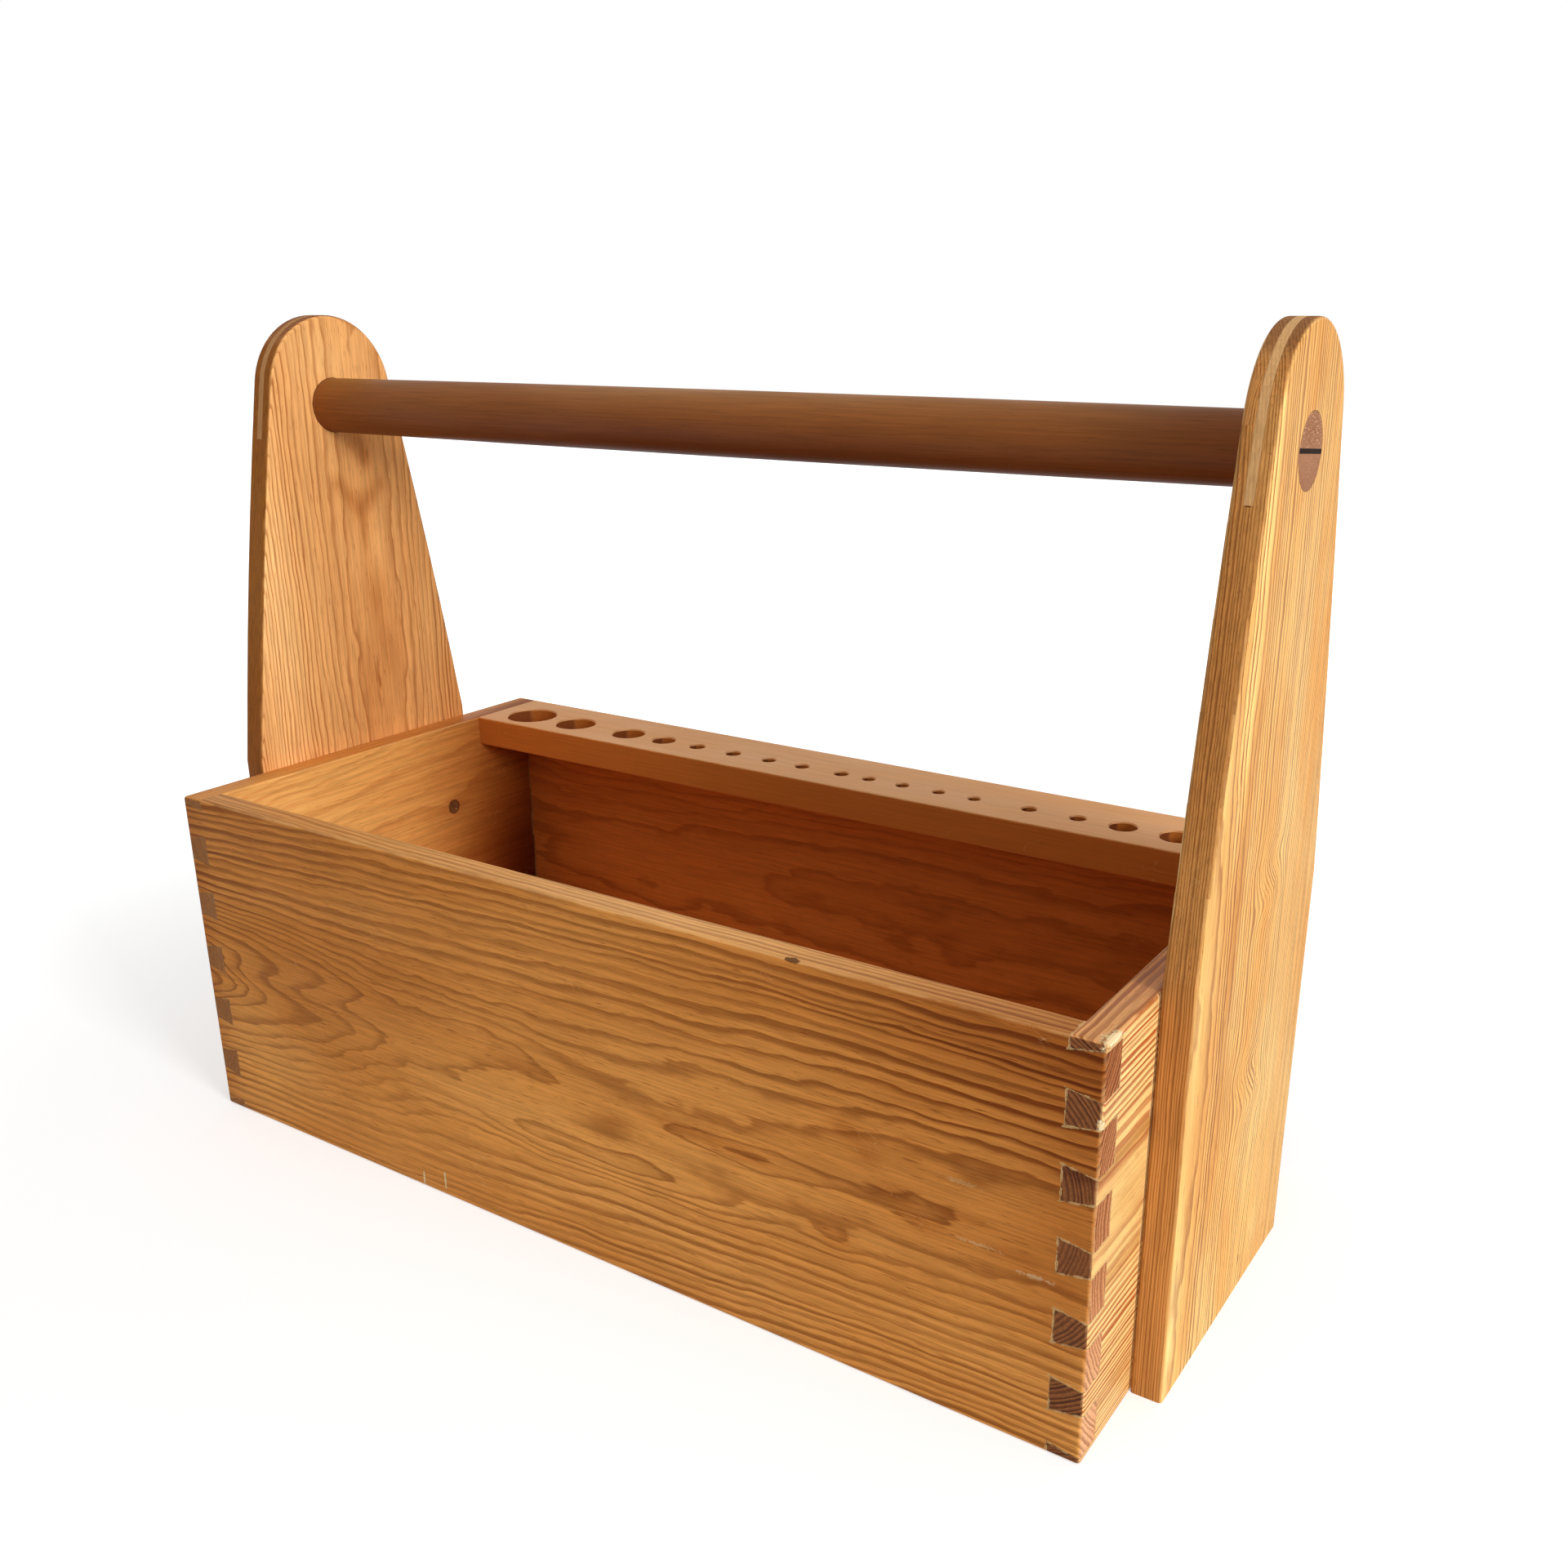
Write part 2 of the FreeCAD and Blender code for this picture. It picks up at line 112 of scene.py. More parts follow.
class Bench:
    """Sets out and wires the nodes of one material or one node group."""

    def __init__(self, tree: bpy.types.NodeTree) -> None:
        """Take the node tree of a material, world or group to work on."""
        self.tree = tree

    @classmethod
    def cleared(cls, owner: bpy.types.Material | bpy.types.World) -> "Bench":
        """Return a bench for a material or a world, with nothing on it."""
        owner.use_nodes = True
        owner.node_tree.nodes.clear()
        return cls(owner.node_tree)

    def put(self, kind: str, feeds: Feeds | None = None, **settings: object) -> bpy.types.Node:
        """Add a node.

        Args:
            kind: Blender's name for the node's type.
            feeds: What its inputs get, by name or number.
            **settings: Properties to set on it.

        Returns:
            The new node.
        """
        node = self.tree.nodes.new(kind)
        for name, value in settings.items():
            setattr(node, name, value)
        for name, value in (feeds or {}).items():
            if isinstance(value, Wire):
                self.tree.links.new(value.socket, node.inputs[name])
            else:
                node.inputs[name].default_value = value
        count = len(self.tree.nodes)
        node.location = (count % 14 * 190, -(count // 14) * 260)
        return node

    def out(self, node: bpy.types.Node, name: str | int = 0) -> Wire:
        """Return one of a node's outputs."""
        return Wire(self, node.outputs[name])

    def math(self, operation: str, *values: Value) -> Wire:
        """Return the answer of one operation of the Math node on one or two values."""
        return self.out(self.put("ShaderNodeMath", dict(enumerate(values)), operation=operation))

    def vector(self, operation: str, *values: Value, scale: Value = 1.0) -> Wire:
        """Return the answer of one operation of the Vector Math node."""
        node = self.put("ShaderNodeVectorMath", {**dict(enumerate(values)), 3: scale}, operation=operation)
        return self.out(node, "Value" if operation in {"DOT_PRODUCT", "LENGTH"} else "Vector")

    def split(self, vector: Value) -> tuple[Wire, Wire, Wire]:
        """Return the three parts of a vector."""
        node = self.put("ShaderNodeSeparateXYZ", {0: vector})
        return tuple(self.out(node, part) for part in range(3))

    def join(self, *parts: Value) -> Wire:
        """Return a vector made of three parts."""
        return self.out(self.put("ShaderNodeCombineXYZ", dict(enumerate(parts))))

    def offset(self, given: SimpleNamespace) -> Wire:
        """Return how far a place lies from a centre, counted in the reach each way."""
        return self.vector("DIVIDE", self.vector("SUBTRACT", given.place, given.centre), given.reach)

    def stray(self, given: SimpleNamespace, step: Triple) -> Wire:
        """Return a place moved by a seed's number of steps, so that no two boards are alike."""
        return self.vector("ADD", given.place, self.vector("SCALE", step, scale=given.seed))

    def slope(self, value: Value, low: Value, high: Value, start: Value = 0.0, end: Value = 1.0) -> Wire:
        """Return a level that eases from start to end as a value goes from low to high."""
        feeds = {"Value": value, "From Min": low, "From Max": high, "To Min": start, "To Max": end}
        return self.out(self.put("ShaderNodeMapRange", feeds, interpolation_type="SMOOTHSTEP"), "Result")

    def noise(self, place: Value, stretch: Triple, detail: float = 2.0, roughness: float = 0.5) -> Wire:
        """Read soft noise.

        Args:
            place: The place in millimetres.
            stretch: The size of its lumps each way, in millimetres.
            detail: How many finer layers are added.
            roughness: How strong the finer layers are.

        Returns:
            The noise, about 0.5 on average.
        """
        scaled = self.vector("MULTIPLY", place, tuple(1 / size for size in stretch))
        feeds = {"Vector": scaled, "Scale": 1.0, "Detail": detail, "Roughness": roughness}
        return self.out(self.put("ShaderNodeTexNoise", feeds, noise_dimensions="3D"))

    def chance(self, number: Value) -> Wire:
        """Return a fixed random level from 0 to 1 for each whole number."""
        return self.out(self.put("ShaderNodeTexWhiteNoise", {"W": number}, noise_dimensions="1D"), "Value")

    def tint(self, share: Value, first: Value, second: Value, mode: str = "MIX") -> Wire:
        """Return two colours mixed, with a share of the second."""
        feeds = {0: share, 6: first, 7: second}
        return self.out(self.put("ShaderNodeMix", feeds, data_type="RGBA", blend_type=mode), 2)


class Effect(ABC):
    """A shader effect, built once as a node group and placed with its own values in each material.

    Attributes:
        title: The group's name.
        takes: The names of its inputs.
        gives: The names of its outputs.
        bench: The bench of the group's tree.
        given: The group's inputs by name. A place is in millimetres.
    """

    bench: Bench
    given: SimpleNamespace
    title: ClassVar[str]
    takes: ClassVar[tuple[str, ...]]
    gives: ClassVar[tuple[str, ...]]
    vectors: ClassVar[set[str]] = {"place", "facing", "pith", "lean", "centre", "reach", "across"}

    @abstractmethod
    def wire(self) -> dict[str, Wire]:
        """Lay the group's nodes and return what each of its outputs gets."""

    def kind(self, name: str) -> str:
        """Return Blender's name for the type of socket that an input or output is."""
        if name.endswith("colour"):
            return "NodeSocketColor"
        return "NodeSocketVector" if name in self.vectors else "NodeSocketFloat"

    def tree(self) -> bpy.types.NodeTree:
        """Return the effect's node group, which is built the first time."""
        ready = bpy.data.node_groups.get(self.title)
        if ready:
            return ready
        tree = bpy.data.node_groups.new(self.title, "ShaderNodeTree")
        for side, names in (("INPUT", self.takes), ("OUTPUT", self.gives)):
            for name in names:
                tree.interface.new_socket(name, in_out=side, socket_type=self.kind(name))
        self.bench = Bench(tree)
        source = self.bench.put("NodeGroupInput")
        self.given = SimpleNamespace(**{name: self.bench.out(source, name) for name in self.takes})
        self.bench.put("NodeGroupOutput", self.wire())
        return tree

    def place(self, bench: Bench, **values: Value) -> dict[str, Wire]:
        """Put the group in a material, feed its inputs by name, and return its outputs by name."""
        node = bench.put("ShaderNodeGroup", values, node_tree=self.tree(), label=self.title)
        return {name: bench.out(node, name) for name in self.gives}


class GrowthRings(Effect):
    """The tree's rings, wherever the saw met them: lines, arches and loops on a face, arcs on an end."""

    title = "Growth Rings"
    takes = (
        "place", "facing", "pith", "lean", "ring_width", "wander", "ripple", "swell", "late_start", "seed",
    )
    gives = ("latewood", "shade")

    def wire(self) -> dict[str, Wire]:
        """Measure the distance from the pith and cut it into rings.

        Returns:
            How dark the latewood is at a point, and a level that differs from ring to ring.
        """
        bench, given = self.bench, self.given
        place = bench.stray(given, (37.1, 91.7, 53.3))
        along, across, through = bench.split(given.place)
        _, pith_across, pith_through = bench.split(given.pith)
        _, lean_across, lean_through = bench.split(given.lean)
        aside = across - (pith_across + along * lean_across)
        deep = through - (pith_through + along * lean_through)
        radius = bench.math("SQRT", aside * aside + deep * deep)
        wander = bench.noise(place, (210.0, 70.0, 70.0), 1.0) - 0.5
        ripple = bench.noise(place, (55.0, 20.0, 20.0), 2.0) - 0.5
        tremble = bench.noise(place, (15.0, 5.0, 5.0), 1.0) - 0.5
        torn = bench.noise(place, (26.0, 0.9, 0.9), 2.0) - 0.5
        reach = radius + wander * given.wander + ripple * given.ripple + tremble * 0.16 * given.ripple
        years = (reach + torn * 0.16 * given.ring_width + given.swell) / given.ring_width
        feeds = {"W": years * 0.23 + given.seed, "Scale": 1.0, "Detail": 1.0}
        drift = bench.out(bench.put("ShaderNodeTexNoise", feeds, noise_dimensions="1D"))
        years = years + drift * 1.5
        year = bench.math("FLOOR", years)
        season = bench.math("FRACT", years)
        shade = bench.chance(year + given.seed)
        outward = bench.vector("DOT_PRODUCT", bench.join(0.0, aside, deep), given.facing)
        flat = bench.slope(abs(outward / radius), 0.87, 1.0)
        start = bench.math("MINIMUM", given.late_start + (shade - 0.5) * 0.3 + flat * 0.16, 0.66)
        rise = bench.slope(season, start, start + 0.34)
        fade = bench.slope(season, 0.05, 0.9)
        drop = bench.slope(season, 0.9, 1.0, 1.0, 0.0)
        weight = 0.55 + bench.chance(year + given.seed + 7.5) * 0.45
        return {"latewood": (rise * 0.68 + fade * 0.26) * drop * weight, "shade": shade}


class Whorl(Effect):
    """A hump or hollow in the rings, as where a branch once grew near the board."""

    title = "Whorl"
    takes = ("place", "centre", "reach", "rise", "ragged", "before")
    gives = ("swell",)

    def wire(self) -> dict[str, Wire]:
        """Add a bell-shaped hump to the swell that came before.

        Returns:
            The swell in millimetres.
        """
        bench, given = self.bench, self.given
        offset = bench.offset(given)
        torn = bench.noise(given.place, (34.0, 5.0, 5.0), 3.0, 0.6) - 0.5
        far = bench.vector("DOT_PRODUCT", offset, offset) + torn * given.ragged
        bell = bench.math("EXPONENT", bench.math("MAXIMUM", far, 0.0) * -1.0)
        return {"swell": given.before + bell * given.rise}


class Fibres(Effect):
    """The fine lengthwise streaks of the fibres and the short dark dashes of the resin canals."""

    title = "Fibres"
    takes = ("place", "seed")
    gives = ("streak", "dash", "blotch")

    def wire(self) -> dict[str, Wire]:
        """Read three sizes of noise drawn out along the board.

        Returns:
            The streaks, the dashes and the broad blotches, each from 0 to 1.
        """
        bench, given = self.bench, self.given
        place = bench.stray(given, (11.9, 23.3, 71.1))
        streak = bench.noise(place, (42.0, 1.3, 1.3), 4.0, 0.62)
        dash = bench.noise(place, (11.0, 0.5, 0.5), 1.0)
        blotch = bench.noise(place, (120.0, 38.0, 38.0), 2.0, 0.55)
        return {
            "streak": bench.slope(streak, 0.3, 0.7),
            "dash": bench.slope(dash, 0.65, 0.75),
            "blotch": bench.slope(blotch, 0.3, 0.7),
        }


class RubbedArris(Effect):
    """Where hands and tools have rubbed the rounded arrises."""

    title = "Rubbed Arris"
    takes = ("place", "facing")
    gives = ("rub",)

    def wire(self) -> dict[str, Wire]:
        """Find the surfaces that face between two of the board's own directions.

        Returns:
            The rubbed share of a point, from 0 to 1.
        """
        bench, given = self.bench, self.given
        along, across, through = bench.split(bench.vector("MULTIPLY", given.facing, given.facing))
        turned = (along + across) * through * 4.0
        patchy = bench.noise(given.place, (16.0, 7.0, 7.0), 3.0, 0.6)
        return {"rub": bench.slope(turned, 0.15, 0.9) * bench.slope(patchy, 0.32, 0.66)}


class DovetailLine(Effect):
    """The pale line of old glue and filler where a dovetail meets its socket, with a hairline gap in it."""

    title = "Dovetail Line"
    takes = ("place", "pitch", "front", "board")
    gives = ("glue", "gap")
    first_pin = 33.0  # height of the lowest pin's middle
    half_pin = 9.0  # half a pin's width where it is widest
    taper = 6.0  # a pin's side runs back this far for each millimetre it closes in
    aside = 50.0  # takes a line out of reach where the joint doesn't have it
    brink = -1.2  # how far past the joint's own area a line may stray

    def wire(self) -> dict[str, Wire]:
        """Measure how far a point is from the nearest joint line of its corner.

        Returns:
            How much glue shows, and how dark the hairline gap is.
        """
        bench, given = self.bench, self.given
        x, y, z = bench.split(given.place)
        depth = abs(x) - END_INSIDE
        cross = y * given.front - (HALF_DEPTH - given.board)
        steps = (z - self.first_pin) / given.pitch
        near = abs(steps - bench.math("ROUND", steps))
        pin = near * given.pitch - (self.half_pin - depth / self.taper)
        in_pin = bench.math("LESS_THAN", pin, 0.0)
        shoulder = abs(depth) + (1.0 - in_pin) * self.aside
        baseline = abs(cross) + in_pin * self.aside
        inside = depth.over(self.brink) * cross.over(self.brink)
        line = bench.math("MINIMUM", abs(pin), bench.math("MINIMUM", shoulder, baseline))
        ragged = bench.noise(given.place, (5.0, 5.0, 5.0), 3.0, 0.65)
        width = bench.slope(ragged, 0.38, 0.68, 0.08, 0.95)
        glue = 1.0 - bench.slope(line, width * 0.4, width)
        gap = 1.0 - bench.slope(line, 0.04, 0.22)
        clean = bench.slope(x, -290.0, 0.0, 0.25, 1.0)
        return {"glue": glue * inside * clean, "gap": gap * inside * 0.7}


class StraightLine(Effect):
    """Two level seams, one each side of a middle, such as the sides of a feather or of an upright."""

    title = "Straight Line"
    takes = ("place", "across", "middle", "half", "foot", "beyond", "width", "dark", "pale")
    gives = ("glue", "gap")

    def wire(self) -> dict[str, Wire]:
        """Measure how far a point is from either seam.

        Returns:
            How much pale filler shows beside the seam, and how dark its gap is.
        """
        bench, given = self.bench, self.given
        ragged = bench.noise(given.place, (6.0, 6.0, 9.0), 3.0, 0.65) - 0.5
        apart = bench.vector("DOT_PRODUCT", given.place, given.across) - given.middle
        far = abs(abs(abs(apart) - given.half) + ragged * 0.5 * given.width)
        side, _, height = bench.split(given.place)
        reach = height.over(given.foot) * abs(side).over(given.beyond)
        width = given.width * (1.0 + ragged * 1.6)
        gap = bench.slope(far, width * 0.4, width, 1.0, 0.0)
        glue = bench.slope(far, width, width * 2.8, 1.0, 0.0)
        glue = glue * bench.slope(ragged, -0.12, 0.12) * given.pale
        return {"glue": glue * reach, "gap": gap * reach * given.dark}


class RoundLine(Effect):
    """A seam round a pin that runs the tote's length, such as the handle's tenon or a screw's head."""

    title = "Round Line"
    takes = ("place", "centre", "radius", "width")
    gives = ("gap",)

    def wire(self) -> dict[str, Wire]:
        """Measure how far a point is from the circle.

        Returns:
            How dark the seam's gap is.
        """
        bench, given = self.bench, self.given
        flat = bench.vector("MULTIPLY", bench.vector("SUBTRACT", given.place, given.centre), (0.0, 1.0, 1.0))
        far = abs(bench.vector("LENGTH", flat) - given.radius)
        ragged = bench.noise(given.place, (4.0, 4.0, 4.0), 2.0, 0.6)
        width = given.width * bench.slope(ragged, 0.3, 0.7, 0.5, 1.5)
        return {"gap": bench.slope(far, width * 0.3, width, 1.0, 0.0)}


class Mark(Effect):
    """One dent, nick, knot or worn patch with a ragged edge."""

    title = "Mark"
    takes = ("place", "centre", "reach", "ragged", "share", "before")
    gives = ("mask",)

    def wire(self) -> dict[str, Wire]:
        """Fill an egg-shaped place, and keep the marks that came before.

        Returns:
            The marked share of a point, from 0 to 1.
        """
        bench, given = self.bench, self.given
        rough = bench.noise(given.place, (2.2, 2.2, 2.2), 3.0, 0.75) - 0.5
        edge = bench.vector("LENGTH", bench.offset(given)) + rough * given.ragged * 3.0
        mask = bench.slope(edge, 0.7, 1.0, 1.0, 0.0) * given.share
        return {"mask": bench.math("MAXIMUM", mask, given.before)}


class Scratches(Effect):
    """Fine scratches, in a few places, that run across the grain or aslant."""

    title = "Scratches"
    takes = ("place", "seed")
    gives = ("line",)

    def wire(self) -> dict[str, Wire]:
        """Draw level lines of a stretched noise and keep them in few places.

        Returns:
            How scratched a point is, from 0 to 1.
        """
        bench, given = self.bench, self.given
        feeds = {"Vector": given.place, "Rotation": (0.4, 0.5, 0.62)}
        turn = bench.out(bench.put("ShaderNodeVectorRotate", feeds, rotation_type="EULER_XYZ"))
        place = bench.vector("ADD", turn, bench.join(given.seed, 0.0, 0.0))
        waves = bench.noise(place, (60.0, 4.5, 4.5), 0.0)
        line = bench.slope(abs(waves - 0.5), 0.004, 0.012, 1.0, 0.0)
        where = bench.noise(place, (34.0, 22.0, 22.0), 1.0)
        return {"line": line * bench.slope(where, 0.62, 0.72) * 0.7}


class Scuffs(Effect):
    """Short pale scuffs across a worn end, above a given height."""

    title = "Scuffs"
    takes = ("place", "above")
    gives = ("line",)

    def wire(self) -> dict[str, Wire]:
        """Keep the crests of a noise drawn out across the tote.

        Returns:
            How scuffed a point is, from 0 to 1.
        """
        bench, given = self.bench, self.given
        crests = bench.noise(given.place, (5.0, 3.4, 0.5), 2.0, 0.6)
        height = bench.split(given.place)[2]
        above = bench.slope(height, given.above, given.above + 2.0, 0.25, 1.0)
        return {"line": bench.slope(crests, 0.54, 0.62) * above}


class Timber(Effect):
    """Puts rings, fibres, ends, wear and glue together as one piece of finished wood."""

    title = "Timber"
    takes = (
        "latewood", "shade", "streak", "dash", "blotch", "side", "end", "rub", "glue", "gap", "stain", "chip",
        "scratch", "painted_light_and_tone", "warmth", "rubbing", "fibre", "sheen", "early_colour", "late_colour", "warm_colour",
        "side_early_colour", "side_late_colour", "end_early_colour", "end_late_colour", "rub_colour",
    )
    gives = ("colour", "roughness", "height")
    glue_colour = paint(240, 198, 136)
    gap_colour = paint(84, 42, 16)
    stain_colour = paint(84, 44, 22)
    bare_colours = (paint(232, 188, 124), paint(255, 240, 198))

    def wire(self) -> dict[str, Wire]:
        """Mix the wood's colour and work out its roughness and height.

        Returns:
            The colour, the roughness, and the height in millimetres.
        """
        bench, given = self.bench, self.given
        late = given.latewood
        early = bench.tint(given.side, given.early_colour, given.side_early_colour)
        dark = bench.tint(given.side, given.late_colour, given.side_late_colour)
        warm = (given.blotch * 0.7 + given.shade * 0.3) * given.warmth * (1.0 - given.side)
        early = bench.tint(warm, early, given.warm_colour)
        face = bench.tint(late, early, dark)
        level = 1.0 + (given.streak - 0.5) * given.fibre * 0.32
        face = bench.tint(1.0, face, bench.join(level, level, level), "MULTIPLY")
        face = bench.tint(given.dash * given.fibre * 0.7, face, dark)
        end = bench.tint(late, given.end_early_colour, given.end_late_colour)
        level = 1.0 + (given.streak - 0.5) * given.fibre * 0.4
        end = bench.tint(1.0, end, bench.join(level, level, level), "MULTIPLY")
        colour = bench.tint(given.end, face, end)
        # The painted light and shade, and the wood's own darker and lighter patches, scale the colour here
        light = bench.join(*(bench.math("EXPONENT", given.painted_light_and_tone * fall) for fall in (-0.9, -1.4, -1.9)))
        colour = bench.tint(1.0, colour, light, "MULTIPLY")
        for share, over in (
            (given.rub * given.rubbing, given.rub_colour),
            (given.scratch * 0.5, given.rub_colour),
            (given.glue * 0.75, self.glue_colour),
            (given.gap * 0.75, self.gap_colour),
            (given.stain * 0.85, self.stain_colour),
            (given.chip, bench.tint(given.streak, *self.bare_colours)),
        ):
            colour = bench.tint(share, colour, over)
        rough = (
            given.sheen + (given.blotch - 0.5) * 0.12 + (0.5 - late) * 0.08 + given.end * 0.15
            + given.glue * 0.1 + given.scratch * 0.15 + given.chip * 0.35
        )
        height = (
            late * 0.035 + given.streak * given.fibre * 0.03 + given.dash * given.fibre * -0.05
            + given.glue * 0.05 + given.gap * -0.2 + given.scratch * -0.06 + given.stain * -0.12
            + given.chip * -0.25
        )
        return {"colour": colour, "roughness": rough, "height": height}


class GrainRun(Enum):
    """Which of the tote's directions run along, across and through a board."""

    PANEL_LONG = (0, 2, 1)
    PANEL_SHORT = (1, 2, 0)
    POST = (2, 1, 0)
    FLAT = (0, 1, 2)


class SpotKind(Enum):
    """What a spot looks like, named by the input of the timber effect that it fills."""

    STAIN = "stain"
    CHIP = "chip"


@dataclass(frozen=True)
class Hump:
    """A soft bell-shaped place in a board: a whorl in its rings, a darker patch, or stronger grain.

    Attributes:
        centre: Its middle, along, across and through the board, in millimetres.
        reach: How far it spreads each way.
        rise: How far it shifts the rings in millimetres, or how much it darkens or strengthens.
        ragged: How torn its edge is.
    """

    centre: Triple
    reach: Triple
    rise: float
    ragged: float = 0.0


def humps(through: float, depth: float, *rows: tuple[float, ...]) -> tuple[Hump, ...]:
    """Set out humps that lie equally deep in a board.

    Args:
        through: Where their middles lie through the board, in millimetres.
        depth: How far they spread through it.
        *rows: Each one's middle along and across, its reach along and across, its rise and its ragged level.

    Returns:
        The humps.
    """
    return tuple(Hump((x, y, through), (long, wide, depth), *rest) for x, y, long, wide, *rest in rows)


@dataclass(frozen=True)
class Log:
    """How a board was sawn from its tree.

    Attributes:
        pith_across: Where the pith lies across the board, in millimetres.
        pith_through: Where it lies through the board.
        lean_across: How fast it moves across, per millimetre along.
        lean_through: How fast it moves through.
        ring_width: The spacing of the rings.
        wander: How far the rings stray over a hand's length.
        ripple: How far they stray over a finger's length.
        late_start: Where in each ring the dark latewood starts, from 0 to 1.
        seed: A number that makes the board unlike others.
        whorls: The humps in its rings.
    """

    pith_across: float
    pith_through: float
    lean_across: float = 0.0
    lean_through: float = 0.0
    ring_width: float = 3.0
    wander: float = 8.0
    ripple: float = 3.0
    late_start: float = 0.5
    seed: float = 1.0
    whorls: tuple[Hump, ...] = ()


@dataclass(frozen=True)
class Tone:
    """The paint-card colours of one wood: on its faces, its narrow sides, its ends and its rubbed arrises."""

    early: Triple
    late: Triple
    warm: Triple
    side_early: Triple
    side_late: Triple
    end_early: Triple
    end_late: Triple
    rub: Triple


@dataclass(frozen=True)
class Spot:
    """One dent, nick or chip.

    Attributes:
        kind: Whether it is stained or bare.
        centre: Its middle in the tote's own directions, in millimetres.
        reach: How far it spreads each way.
        ragged: How torn its edge is.
        share: How much of it shows, from 0 to 1.
    """

    kind: SpotKind
    centre: Triple
    reach: Triple
    ragged: float = 0.4
    share: float = 1.0


@dataclass(frozen=True)
class Seam:
    """A line where two pieces meet; its fields are named after the inputs of its effect."""

    effect: ClassVar[type[Effect]]

    def lay(self, bench: Bench, tote: Wire) -> dict[str, Wire]:
        """Place the line's effect in a material and return the glue and the gap that it shows."""
        return self.effect().place(bench, place=tote, **vars(self))


@dataclass(frozen=True)
class CornerSeam(Seam):
    """The lines of one dovetailed corner.

    Attributes:
        pitch: The pins' spacing, in millimetres.
        front: -1 at the front of the box and 1 at its back.
        board: How thick the board with the tails is.
    """

    effect = DovetailLine
    pitch: float
    front: float
    board: float


@dataclass(frozen=True)
class StraightSeam(Seam):
    """Two level lines, one each side of a middle.

    Attributes:
        across: The direction from one line to the other.
        middle: How far along it the middle lies, in millimetres.
        half: How far each line lies from the middle.
        foot: The height where they start.
        beyond: How far out from the tote's middle they start.
        width: How wide they are.
        dark: How dark their gap is.
        pale: How much pale filler shows beside them.
    """

    effect = StraightLine
    across: Triple
    middle: float
    half: float
    foot: float = -1.0
    beyond: float = 0.0
    width: float = 0.35
    dark: float = 1.0
    pale: float = 1.0


@dataclass(frozen=True)
class RoundSeam(Seam):
    """A circle round a pin, with its centre, its radius and its line's width in millimetres."""

    effect = RoundLine
    centre: Triple
    radius: float
    width: float


def picked(record: object, *names: str) -> dict[str, Value]:
    """Return some fields of a record by name."""
    return {name: getattr(record, name) for name in names}


